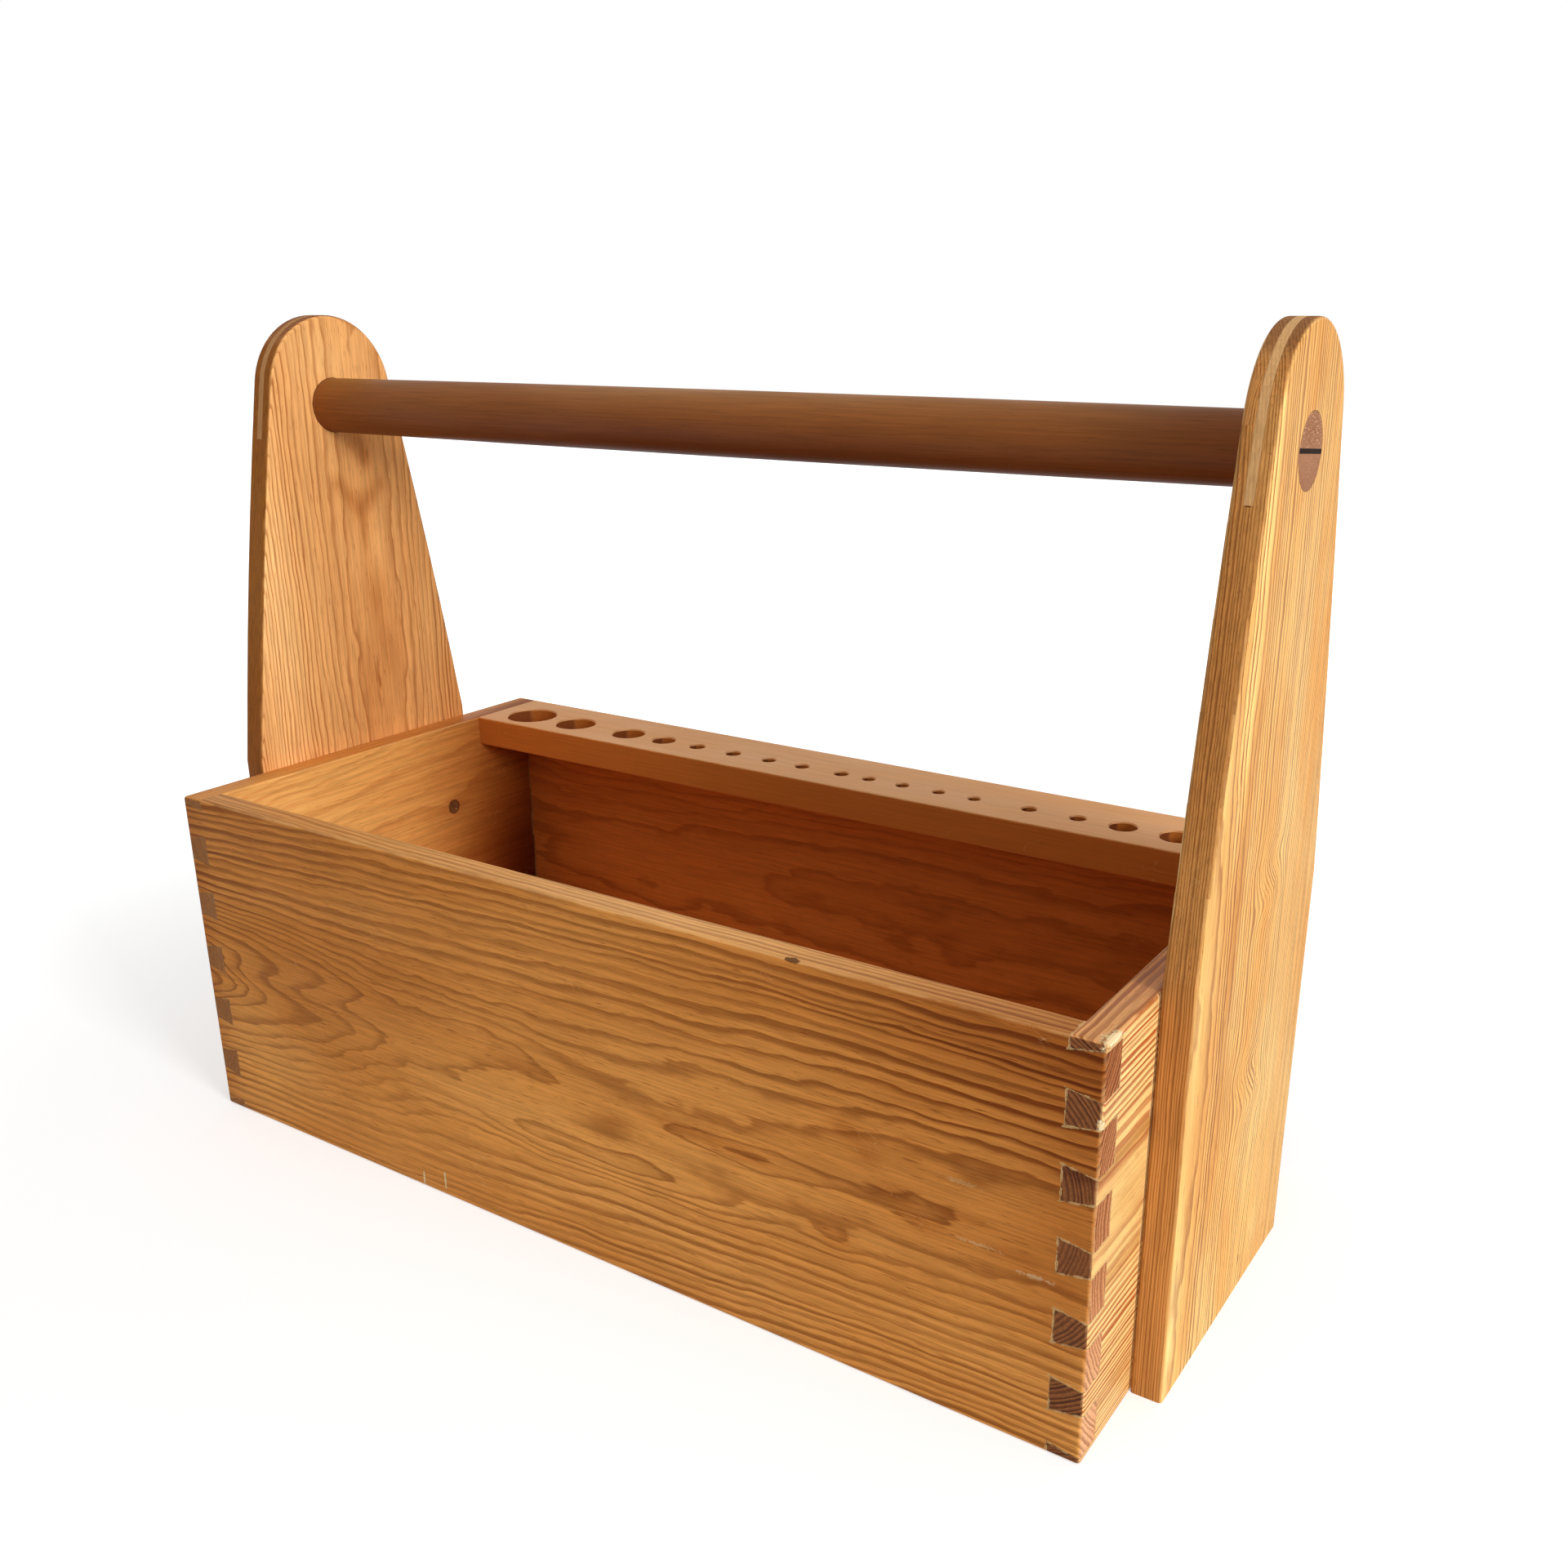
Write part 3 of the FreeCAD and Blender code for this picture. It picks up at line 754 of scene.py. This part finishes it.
@dataclass(frozen=True)
class WoodFinish:
    """The finish of one board, from the log it was sawn from to its wear.

    Attributes:
        name: The material's name.
        run: How the board lies in the tote.
        log: How it was sawn.
        tone: Its colours.
        grain: How strongly the latewood shows.
        warmth: How much of the warm colour shows in blotches.
        rubbing: How much the rubbed arrises show.
        scuffed: Whether its ends are scuffed, as on the handle.
        fibre: How strongly the fibres show.
        sheen: Its roughness before wear.
        gloss: The level of its reflections.
        seams: The lines where other pieces meet it.
        spots: Its dents and chips.
        painted_light_and_tone: Where it is darker, or lighter for less than nothing: painted light and shade
            on several boards, and the wood's own tone elsewhere.
        figure: Where its latewood shows more, or less.
        end_turn: How squarely a surface faces the board's ends where end grain starts, and where it is full.
        side_turn: The same for its narrow sides.
        scuff_strength: How strongly scuffs show.
    """

    end_turn: ClassVar[tuple[float, float]] = (0.62, 0.8)
    side_turn: ClassVar[tuple[float, float]] = (0.45, 0.8)
    scuff_strength: ClassVar[float] = 1.6
    name: str
    run: GrainRun
    log: Log
    tone: Tone
    grain: float = 1.0
    warmth: float = 0.4
    rubbing: float = 0.35
    scuffed: bool = False
    fibre: float = 1.0
    sheen: float = 0.48
    gloss: float = 0.16
    seams: tuple[Seam, ...] = ()
    spots: tuple[Spot, ...] = ()
    painted_light_and_tone: tuple[Hump, ...] = ()
    figure: tuple[Hump, ...] = ()

    def bells(self, bench: Bench, place: Wire, parts: tuple[Hump, ...]) -> Value:
        """Add up some humps.

        Args:
            bench: The bench of the material.
            place: The place along, across and through the board.
            parts: The humps to add.

        Returns:
            Their sum.
        """
        swell: Value = 0.0
        for hump in parts:
            swell = Whorl().place(bench, place=place, before=swell, **vars(hump))["swell"]
        return swell

    def wear(self, bench: Bench, tote: Wire) -> dict[str, Value]:
        """Lay the spots and the seams, the strongest winning where they meet.

        Args:
            bench: The bench of the material.
            tote: The place in the tote's own directions, in millimetres.

        Returns:
            The stain, the chip, the glue and the gap at a point.
        """
        found: dict[str, Value] = {"stain": 0.0, "chip": 0.0, "glue": 0.0, "gap": 0.0}
        for spot in self.spots:
            kind = spot.kind.value
            shape = picked(spot, "centre", "reach", "ragged", "share")
            found[kind] = Mark().place(bench, place=tote, before=found[kind], **shape)["mask"]
        for seam in self.seams:
            for name, wire in seam.lay(bench, tote).items():
                found[name] = bench.math("MAXIMUM", found[name], wire)
        return found

    def material(self) -> bpy.types.Material:
        """Return the board's material."""
        material = bpy.data.materials.new(self.name)
        bench = Bench.cleared(material)
        source = bench.put("ShaderNodeTexCoord")
        tote = bench.vector("SCALE", bench.out(source, "Object"), scale=MILLIMETRES)
        parts = bench.split(tote)
        place = bench.join(*(parts[axis] for axis in self.run.value))
        parts = bench.split(bench.out(source, "Normal"))
        facing = bench.join(*(parts[axis] for axis in self.run.value))
        rings = GrowthRings().place(
            bench,
            place=place,
            facing=facing,
            pith=(0.0, self.log.pith_across, self.log.pith_through),
            lean=(0.0, self.log.lean_across, self.log.lean_through),
            swell=self.bells(bench, place, self.log.whorls),
            **picked(self.log, "ring_width", "wander", "ripple", "late_start", "seed"),
        )
        along, across, _ = bench.split(facing)
        end = bench.slope(abs(along), *self.end_turn)
        if self.scuffed:
            line = Scuffs().place(bench, place=tote, above=GRIP_HEIGHT)["line"]
            scratch = line * end * self.scuff_strength
        else:
            scratch = Scratches().place(bench, place=place, seed=self.log.seed * 31.0)["line"]
        timber = Timber().place(bench, **{
            **rings,
            **Fibres().place(bench, place=place, seed=self.log.seed),
            **RubbedArris().place(bench, place=place, facing=facing),
            **self.wear(bench, tote),
            "latewood": rings["latewood"] * (self.bells(bench, place, self.figure) + self.grain),
            "side": bench.slope(abs(across), *self.side_turn),
            "end": end,
            "scratch": scratch,
            "painted_light_and_tone": self.bells(bench, place, self.painted_light_and_tone),
            **{f"{name}_colour": paint(*level) for name, level in vars(self.tone).items()},
            **picked(self, "warmth", "rubbing", "fibre", "sheen"),
        })
        bump = bench.put("ShaderNodeBump", {"Distance": 1.0 / MILLIMETRES, "Height": timber["height"]})
        shader = bench.put("ShaderNodeBsdfPrincipled", {
            "Base Color": timber["colour"],
            "Roughness": timber["roughness"],
            "Specular IOR Level": self.gloss,
            "Normal": bench.out(bump),
        })
        bench.put("ShaderNodeOutputMaterial", {"Surface": bench.out(shader)})
        return material

    def dress(self, node: str) -> None:
        """Give the material to a solid of the tote.

        Args:
            node: The solid's name.
        """
        material = self.material()
        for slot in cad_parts[node].material_slots:
            slot.material = material
        log.info("%s: %s", node, self.name)


# A tone's colours stand in this order: early, late, warm; side early, side late; end early, end late; rubbed
HONEY = Tone(
    (234, 160, 80), (144, 77, 24), (212, 130, 54), (242, 180, 110), (184, 118, 62),
    (230, 166, 118), (140, 82, 46), (240, 186, 124),
)
GOLD = Tone(
    (255, 214, 138), (180, 92, 38), (238, 170, 92), (228, 162, 100), (168, 98, 48),
    (146, 88, 47), (80, 39, 14), (246, 196, 136),
)
# PALE's narrow-side colours, on the right upright's front edge, are darker than its faces: partly edge grain,
# partly painted shade
PALE = Tone(
    (252, 206, 126), (150, 78, 24), (236, 158, 76), (204, 139, 73), (146, 88, 40),
    (160, 108, 62), (128, 80, 40), (246, 196, 128),
)
AMBER = Tone(
    (248, 185, 103), (192, 107, 43), (239, 155, 75), (222, 146, 70), (170, 100, 40),
    (158, 102, 54), (124, 73, 34), (240, 180, 116),
)
# SHADED's narrow-side colours, on the left upright's front edge, are darker than its faces: partly edge
# grain, partly painted shade
SHADED = Tone(
    (244, 180, 110), (166, 88, 32), (226, 144, 76), (144, 80, 24), (110, 58, 14),
    (150, 90, 50), (120, 70, 32), (226, 166, 102),
)
RUSSET = Tone(
    (208, 128, 58), (148, 78, 28), (192, 106, 42), (200, 120, 54), (160, 84, 30),
    (160, 104, 58), (120, 70, 32), (220, 156, 92),
)
# TAN's narrow-side colours, on the rack's front edge and in its bores, are darker than its faces: partly edge
# grain, partly painted shade
TAN = Tone(
    (240, 176, 116), (220, 150, 92), (232, 164, 104), (198, 116, 46), (178, 96, 34),
    (150, 80, 36), (130, 66, 26), (240, 180, 120),
)
NUT = Tone(
    (138, 83, 35), (102, 53, 18), (113, 57, 19), (138, 79, 34), (104, 56, 22),
    (166, 117, 84), (138, 90, 60), (214, 164, 126),
)
STRAW = Tone(
    (218, 168, 110), (184, 130, 78), (206, 150, 94), (218, 168, 110), (184, 130, 78),
    (218, 168, 110), (184, 130, 78), (238, 194, 136),
)
RUST = Tone(
    (164, 104, 66), (116, 68, 40), (144, 86, 52), (164, 104, 66), (116, 68, 40),
    (120, 72, 38), (78, 42, 22), (150, 96, 58),
)
EBONY = Tone(
    (40, 24, 18), (22, 12, 8), (32, 18, 12), (40, 24, 18), (22, 12, 8),
    (34, 20, 14), (18, 10, 6), (70, 46, 36),
)


@dataclass
class DovetailedBox:
    """The open box: four dovetailed walls and a bottom, with the seams on its ends."""

    front_corner: CornerSeam = CornerSeam(pitch=36.0, front=-1.0, board=16.5)
    back_corner: CornerSeam = CornerSeam(pitch=124.0 / 3, front=1.0, board=13.0)
    post: StraightSeam = StraightSeam((0, 1, 0), middle=0.0, half=87.3, beyond=END_OUTSIDE - 1.0, width=1.1)
    screw_radius: float = 4.7

    def end_seams(self) -> tuple[Seam, ...]:
        """Return an end panel's seams: both corners, the upright's edges and rings round the screws."""
        rings = (
            RoundSeam((0, y, z), self.screw_radius, width=0.9) for y in SCREW_COLUMNS for z in SCREW_ROWS
        )
        return (self.front_corner, self.back_corner, self.post, *rings)

    def dress_front(self) -> None:
        """Finish the front, which shows most."""
        face = -HALF_DEPTH
        WoodFinish(
            "oiled pine, front", GrainRun.PANEL_LONG,
            Log(100, 5, 0.03, -0.004, 2.9, 6.0, 4.0, 0.38, 3.0, humps(
                face, 400,
                (-400, 98, 190, 40, -34.0), (-200, 40, 120, 34, -4.0), (-225, 102, 100, 9, 5.5),
                (-60, 112, 60, 14, -2.2), (20, 66, 85, 10, -5.5), (112, 100, 46, 6, -3.0),
                (170, 71, 14, 8, -2.4), (320, 0, 240, 45, 9.0), (300, 212, 160, 40, 7.0),
            )),
            HONEY, grain=0.84, gloss=0.06, seams=(self.front_corner,),
            figure=humps(
                face, 400,
                (-300, 120, 50, 90, 0.44), (-140, 22, 112, 60, -0.52), (-70, 165, 170, 50, -0.22),
                (290, 160, 105, 60, 0.5), (46, 80, 46, 30, 0.18), (230, 60, 60, 22, -0.24),
            ),
            spots=(
                Spot(SpotKind.STAIN, (147, -144.5, 210), (5, 3, 1.8)),
                Spot(SpotKind.STAIN, (-299, -144, 1), (7, 5, 4)),
                Spot(SpotKind.CHIP, (-117, face, 5), (0.9, 3, 6)),
                Spot(SpotKind.CHIP, (-99, face, 10), (0.9, 3, 7)),
                Spot(SpotKind.CHIP, (236, face, 125), (9, 2, 1.1), 1.3, 0.24),
                Spot(SpotKind.CHIP, (246, face, 96), (11, 2, 1.1), 1.3, 0.24),
                Spot(SpotKind.CHIP, (274, face, 90), (8, 2, 1.3), 1.3, 0.3),
            ),
            painted_light_and_tone=(
                # Broad light and shade, then short strokes
                *humps(
                    face, 60,
                    (-60, 62, 130, 24, -0.1), (-304, 105, 15, 200, 0.3), (-210, 110, 120, 56, 0.24),
                    (-20, 85, 170, 30, -0.08), (-250, 44, 34, 40, -0.12), (0, 30, 600, 30, -0.08),
                    (-140, 22, 112, 60, 0.075), (-70, 165, 170, 50, 0.03), (-300, 120, 50, 90, -0.06),
                    (264, 184, 60, 3, -0.12, 2), (240, 172, 70, 3, -0.1, 2), (83, 102, 26, 3.5, 0.24, 3),
                    (118, 99, 16, 3, 0.24, 3), (176, 133, 9, 4, 0.24, 2), (188, 122, 8, 5, 0.24, 2),
                    (202, 108, 9, 5, 0.22, 2), (219, 96, 11, 4, 0.2, 2), (240, 107, 16, 3, 0.18, 2),
                    (264, 97, 14, 3, 0.18, 2), (170, 72, 13, 7, 0.18, 3), (-36, 106, 18, 4, 0.12, 3),
                ),
                *humps(
                    face, 40,
                    (290, 205, 130, 34, 0.56), (250, 110, 110, 50, 0.2), (296, 150, 26, 62, 0.24),
                    (-240, 196, 90, 20, 0.16), (284, 90, 30, 40, 0.1),
                ),
                Hump((-100, 230, face), (500, 80, 90), 0.1),
                # The left foot, the rim's arris and its top
                Hump((303, 190, -140), (6, 60, 12), 0.04),
                Hump((303, 6, -140), (6, 80, 12), -0.2),
                Hump((0, 218, face), (700, 4, 2.2), 0.5),
                Hump((150, 213, -135), (200, 4, 30), -0.3),
            ),
        ).dress("front_panel")

    def dress_ends(self) -> None:
        """Finish the left end, seen from inside, and the right end, seen from outside."""
        WoodFinish(
            "oiled pine, left end", GrainRun.PANEL_SHORT,
            Log(130, -430, 0.05, 0.02, 3.0, 8.0, 5.0, 0.45, 14.0), AMBER, grain=0.38, fibre=0.9,
            seams=self.end_seams(),
            # Painted shade towards the back and low down, where the rack and the right upright shade the
            # inside, and painted light towards the front
            painted_light_and_tone=humps(-283, 9, (152, 90, 92, 240, 1.3), (-100, 140, 60, 120, -0.2), (140, 60, 62, 88, 1.7)),
        ).dress("left_end_panel")
        face = END_OUTSIDE
        WoodFinish(
            "oiled pine, right end", GrainRun.PANEL_SHORT,
            Log(124, 240, 0.0, 0.0, 2.1, 3.0, 2.0, 0.35, 21.0, humps(
                face, 400, (-116, 214, 500, 60, -11.0), (-116, 20, 500, 60, -12.0),
            )),
            GOLD, seams=self.end_seams(),
            figure=humps(
                face, 60, (-116, 190, 500, 44, 0.3), (-116, 106, 500, 22, -0.34), (-116, 44, 500, 44, 0.26),
            ),
            painted_light_and_tone=(
                *humps(
                    face, 60,
                    (-116, 190, 500, 44, -0.05), (-116, 106, 500, 22, 0.05), (-116, 44, 500, 44, -0.04),
                    (-116, 148, 400, 4, 0.6), (-110, 122, 16, 8, 0.14), (-116, 88, 400, 4, 0.28),
                    (-116, 78, 400, 3, -0.1), (-116, 22, 400, 4, 0.24, 1),
                ),
                # Painted shade, with some brown streaks, on the rim's top beside the upright
                Hump((-68, 211, 292), (26, 7, 30), 0.3),
            ),
            spots=(
                Spot(SpotKind.CHIP, (299.5, -137, 209.5), (4.5, 9, 3.5), 0.9),
                Spot(SpotKind.CHIP, (299.5, -144.5, 168), (2.2, 2.4, 9), 1.0),
            ),
        ).dress("right_end_panel")

    def dress(self) -> None:
        """Finish the walls and the bottom."""
        self.dress_front()
        WoodFinish(
            "oiled pine, back", GrainRun.PANEL_LONG,
            Log(110, 10, 0.0, 0.01, 3.4, 10.0, 6.0, 0.45, 9.0), RUSSET, grain=0.6, fibre=0.8,
            seams=(self.back_corner,),
            # Painted shade at the left end, in the corner below the rack; then darker high at the right and
            # lighter left of the middle
            painted_light_and_tone=humps(
                132, 60, (-290, 90, 110, 200, 0.3), (260, 160, 90, 70, 0.14), (-110, 90, 180, 40, -0.12),
            ),
        ).dress("back_panel")
        self.dress_ends()
        WoodFinish(
            "oiled pine, bottom", GrainRun.FLAT,
            Log(30, -160, 0.03, 0.02, 3.0, 10.0, 4.0, 0.5, 27.0), AMBER,
        ).dress("bottom_panel")


@dataclass
class ToolRack:
    """The drilled board along the back, and its dowels."""

    def dress(self) -> None:
        """Finish the rack and the dowels."""
        WoodFinish(
            "planed tan wood, rack", GrainRun.FLAT,
            Log(160, 60, 0.02, 0.01, 2.2, 6.0, 3.0, 0.4, 33.0), TAN, grain=0.25, fibre=0.4,
            painted_light_and_tone=(Hump((270, 85, 200), (70, 12, 60), 0.09), Hump((-70, 100, 210), (130, 60, 60), -0.05)),
        ).dress("tool_rack")
        WoodFinish(
            "turned tan wood, dowels", GrainRun.FLAT,
            Log(115, 200, ring_width=1.5, seed=35.0), TAN, grain=0.5,
        ).dress("rack_dowels")


@dataclass
class Uprights:
    """The two tapered boards that carry the handle, with their feathers, patch and screws."""

    tenon: RoundSeam = RoundSeam((0, 0, GRIP_HEIGHT), GRIP_RADIUS, width=0.4)
    slot_foot: float = 413.0
    half_slot: float = 2.1

    def feather(self, side: float) -> StraightSeam:
        """Return the seams of one upright's feather."""
        place = ((1, 0, 0), side * POST_MIDDLE, self.half_slot, self.slot_foot)
        return StraightSeam(*place, width=0.25, dark=0.3, pale=0.12)

    def dress_boards(self) -> None:
        """Finish the left upright, seen from inside, and the right one, seen from outside."""
        face = -END_OUTSIDE
        WoodFinish(
            "oiled pine, left upright", GrainRun.POST,
            Log(16, -430, 0.0, 0.002, 1.45, 3.0, 2.4, 0.46, 41.0), SHADED, grain=0.9, gloss=0.08,
            painted_light_and_tone=(
                # The dark figure below the handle, partly grain and partly the handle's painted shadow; then
                # painted light on the back edge and on the round top
                *humps(
                    face, 9,
                    (408, 14, 7, 7, 0.3, 2), (398, 19, 7, 5, 0.4, 2), (382, -4, 6, 5, 0.26, 2),
                    (374, 4, 6, 6, 0.32, 2), (366, 12, 7, 6, 0.38, 2), (372, 21, 6, 6, 0.32, 2),
                    (379, 28, 6, 5, 0.26, 2), (350, 13, 12, 2.4, 0.3, 2), (334, 4, 16, 7, -0.12, 1),
                    (338, 22, 14, 6, -0.14, 1), (308, 17, 14, 7, 0.22, 2), (276, 24, 22, 9, 0.18, 2),
                    (250, 6, 30, 10, 0.18, 2), (330, 16, 400, 34, 0.08),
                ),
                Hump((330, -66, face), (400, 26, 60), -0.34),
                Hump((458, 4, face), (46, 44, 30), -0.2),
            ),
            seams=(self.tenon, self.feather(-1.0)),
        ).dress("left_upright")
        face = POST_OUTSIDE
        WoodFinish(
            "oiled pine, right upright", GrainRun.POST,
            Log(-84, 196, 0.0, 0.0, 1.35, 3.0, 2.2, 0.44, 47.0, (
                Hump((240, 60, face), (500, 60, 60), -15.0),
                *humps(
                    face, 90,
                    (246, 6, 10, 22, 3.4), (224, 10, 9, 20, -3.4), (140, -4, 10, 20, 3.4),
                    (116, 14, 9, 20, -3.4), (60, -10, 30, 16, 2.0),
                ),
            )),
            PALE, warmth=0.7, gloss=0.08,
            figure=humps(face, 60, (260, -62, 400, 26, 0.24)),
            painted_light_and_tone=(
                # The pale stripe and the orange bands beside it come first
                *humps(
                    face, 9,
                    *((z, 0.06 * z - 71, 64, 8, -0.26) for z in (330, 420)),
                    *((z, 0.05 * z - 52, 64, 6, 0.2, 1) for z in (220, 320, 420)),
                    (120, -44, 110, 8, 0.16, 1), (440, 10, 90, 60, 0.1), (30, -20, 110, 60, -0.1),
                ),
                *humps(face, 30, (180, -66, 100, 22, 0.14), (20, 40, 46, 60, -0.08)),
                *humps(
                    face, 60,
                    (260, -62, 400, 26, -0.035), (290, 0, 26, 14, 0.12, 3), (260, -80, 80, 6, -0.1),
                    (60, 40, 60, 30, -0.08),
                ),
                # Painted light low on the front edge, where the end panel throws light onto it, and painted
                # shade higher up that edge
                Hump((60, -84, POST_MIDDLE), (140, 8, 30), -0.22),
                Hump((330, -64, END_OUTSIDE), (130, 24, 13), 0.14),
            ),
            seams=(self.tenon, self.feather(1.0)),
            spots=(
                Spot(SpotKind.STAIN, (face, 19, 18), (2, 0.8, 3.5)),
                Spot(SpotKind.STAIN, (POST_MIDDLE, -72, 413), (2.4, 30, 0.5), 0.1),
            ),
        ).dress("right_upright")

    def dress(self) -> None:
        """Finish the uprights and what is let into them."""
        self.dress_boards()
        for side, sign, seed in (("left", -1.0, 51.0), ("right", 1.0, 55.0)):
            WoodFinish(
                f"straw wood, {side} feather", GrainRun.POST,
                Log(40, sign * 520, ring_width=1.4, wander=3.0, ripple=1.0, seed=seed), STRAW,
                grain=0.6, fibre=0.7, seams=(self.feather(sign),),
                painted_light_and_tone=(Hump((430, 0, -POST_MIDDLE), (900, 900, 60), 0.35),),
            ).dress(f"{side}_upright_feather")
            WoodFinish(
                f"aged screws, {side}", GrainRun.FLAT, Log(0, 0, ring_width=1.4, seed=seed), RUST, grain=0.5,
            ).dress(f"{side}_upright_screws")
        WoodFinish(
            "oiled pine, patch", GrainRun.POST, Log(0, 50, ring_width=1.2, seed=58.0), PALE,
        ).dress("right_upright_patch")


@dataclass
class CarryingHandle:
    """The round handle and the wedges that spread its ends."""

    def dress(self) -> None:
        """Finish the handle and its wedges."""
        WoodFinish(
            "brown beech, handle", GrainRun.FLAT,
            Log(30, 380, 0.0, 0.0, 2.0, 5.0, 2.0, 0.3, 61.0), NUT,
            grain=0.14, warmth=0.5, rubbing=0.0, scuffed=True, fibre=0.75,
            painted_light_and_tone=(
                # The underside in painted shade, a painted sheen on the top, both ends, two smudges, and half
                # of the right end grain
                Hump((0, 0, 410), (290, 60, 18), 0.86),
                Hump((20, 0, 452), (240, 60, 14), -0.46),
                Hump((-292, 0, GRIP_HEIGHT), (24, 30, 30), -0.14),
                Hump((276, 0, GRIP_HEIGHT), (26, 30, 40), 0.2),
                Hump((-40, -16, 425), (40, 20, 12), 0.14, 2.0),
                Hump((-130, -16, 436), (30, 20, 12), 0.1, 2.0),
                Hump((316, 0, 441), (12, 20, 9), 0.3),
            ),
        ).dress("handle")
        for side, seed in (("left", 65.0), ("right", 67.0)):
            WoodFinish(
                f"dark wood, {side} wedge", GrainRun.FLAT, Log(0, 0, ring_width=1.0, seed=seed), EBONY,
                grain=0.5, gloss=0.04,
            ).dress(f"{side}_handle_wedge")


@dataclass
class Studio:
    """The pale floor, the soft lights and the camera.

    Attributes:
        eye: Where the camera stands, in metres.
        heading: Where it looks, in degrees round from the tote's right.
        tilt: How far it looks up, in degrees.
        roll: How far it leans over, in degrees.
        lens: Its focal length, in millimetres.
        shift_x: How far its picture is shifted across, in picture widths.
        shift_y: How far it is shifted up.
        fill: How strongly the room lights the tote.
        room: How far the floor reaches each way, in metres.
    """

    eye: Triple = (0.4974, -0.6543, 0.4884)
    heading: float = 123.04
    tilt: float = -19.43
    roll: float = -0.13
    lens: float = 34.25
    shift_x: float = -0.0272
    shift_y: float = 0.0321
    fill: float = 0.38
    room: float = 6.0

    def aim(self, name: str, data: bpy.types.ID, place: Triple, ahead: Vector) -> bpy.types.Object:
        """Stand a camera or a lamp in the room.

        Args:
            name: Its name.
            data: The camera or the light.
            place: Where it stands, in metres.
            ahead: The direction it points in.

        Returns:
            The new object.
        """
        thing = bpy.data.objects.new(name, data)
        thing.location = place
        thing.rotation_mode = "QUATERNION"
        thing.rotation_quaternion = ahead.to_track_quat("-Z", "Y")
        bpy.context.scene.collection.objects.link(thing)
        return thing

    def camera(self) -> None:
        """Stand the camera before the tote's right front corner."""
        data = bpy.data.cameras.new("camera")
        data.lens = self.lens
        data.sensor_width = 36.0
        data.shift_x = self.shift_x
        data.shift_y = self.shift_y
        data.clip_start = 0.02
        data.clip_end = 50.0
        heading, tilt = math.radians(self.heading), math.radians(self.tilt)
        level = math.cos(tilt)
        ahead = Vector((level * math.cos(heading), level * math.sin(heading), math.sin(tilt)))
        camera = self.aim("camera", data, self.eye, ahead)
        lean = Quaternion((0, 0, 1), math.radians(self.roll))
        camera.rotation_quaternion = camera.rotation_quaternion @ lean
        bpy.context.scene.camera = camera

    def lamp(self, name: str, place: Triple, size: float, power: float) -> None:
        """Hang a soft square lamp that points at the tote.

        Args:
            name: The lamp's name.
            place: Where it hangs, in metres.
            size: The length of its side.
            power: Its power in watts.
        """
        data = bpy.data.lights.new(name, "AREA")
        data.shape = "SQUARE"
        data.size = size
        data.energy = power
        self.aim(name, data, place, Vector((0, 0, 0.2)) - Vector(place))

    def seen(self, bench: Bench) -> Wire:
        """Return 1 for what is seen, straight, mirrored or through glass, and 0 for what only lights."""
        rays = bench.put("ShaderNodeLightPath")
        camera, mirrored, through = (
            bench.out(rays, f"Is {kind} Ray") for kind in ("Camera", "Glossy", "Transmission")
        )
        return bench.math("MAXIMUM", camera, bench.math("MAXIMUM", mirrored, through))

    def floor(self) -> None:
        """Lay the floor, which shows white but keeps the tote's shadow."""
        mesh = bpy.data.meshes.new("floor")
        corners = [(x * self.room, y * self.room, 0) for x, y in ((-1, -1), (1, -1), (1, 1), (-1, 1))]
        mesh.from_pydata(corners, [], [(0, 1, 2, 3)])
        floor = bpy.data.objects.new("floor", mesh)
        bpy.context.scene.collection.objects.link(floor)
        material = bpy.data.materials.new("pale floor")
        bench = Bench.cleared(material)
        away = bench.vector("LENGTH", bench.out(bench.put("ShaderNodeTexCoord"), "Object"))
        matt = bench.put("ShaderNodeBsdfDiffuse", {"Color": (0.74, 0.74, 0.74, 1.0)})
        strength = self.seen(bench) * bench.slope(away, 0.4, 1.3, 0.5, 1.0)
        glow = bench.put("ShaderNodeEmission", {"Strength": strength})
        both = bench.put("ShaderNodeAddShader", {0: bench.out(matt), 1: bench.out(glow)})
        bench.put("ShaderNodeOutputMaterial", {"Surface": bench.out(both)})
        mesh.materials.append(material)

    def sky(self) -> None:
        """Fill the room with even light, and show it white."""
        world = bpy.data.worlds.new("room")
        bench = Bench.cleared(world)
        strength = self.fill + self.seen(bench) * (1.0 - self.fill)
        back = bench.put("ShaderNodeBackground", {"Color": (1.0, 1.0, 1.0, 1.0), "Strength": strength})
        bench.put("ShaderNodeOutputWorld", {"Surface": bench.out(back)})
        bpy.context.scene.world = world

    def build(self) -> None:
        """Set up the room."""
        self.camera()
        self.floor()
        self.sky()
        self.lamp("window", (2.74, -0.79, 1.13), size=0.8, power=52.0)
        self.lamp("ceiling", (0.2, -0.3, 2.6), size=2.0, power=12.0)
        bpy.context.scene.view_settings.view_transform = "Standard"
        log.info("studio ready")


def main() -> None:
    """Build and dress the tote, part by part."""
    logging.basicConfig(level=logging.INFO, format="%(name)s: %(message)s", stream=sys.stdout)
    Studio().build()
    for group in (DovetailedBox(), ToolRack(), Uprights(), CarryingHandle()):
        group.dress()


if __name__ == "__main__":
    main()
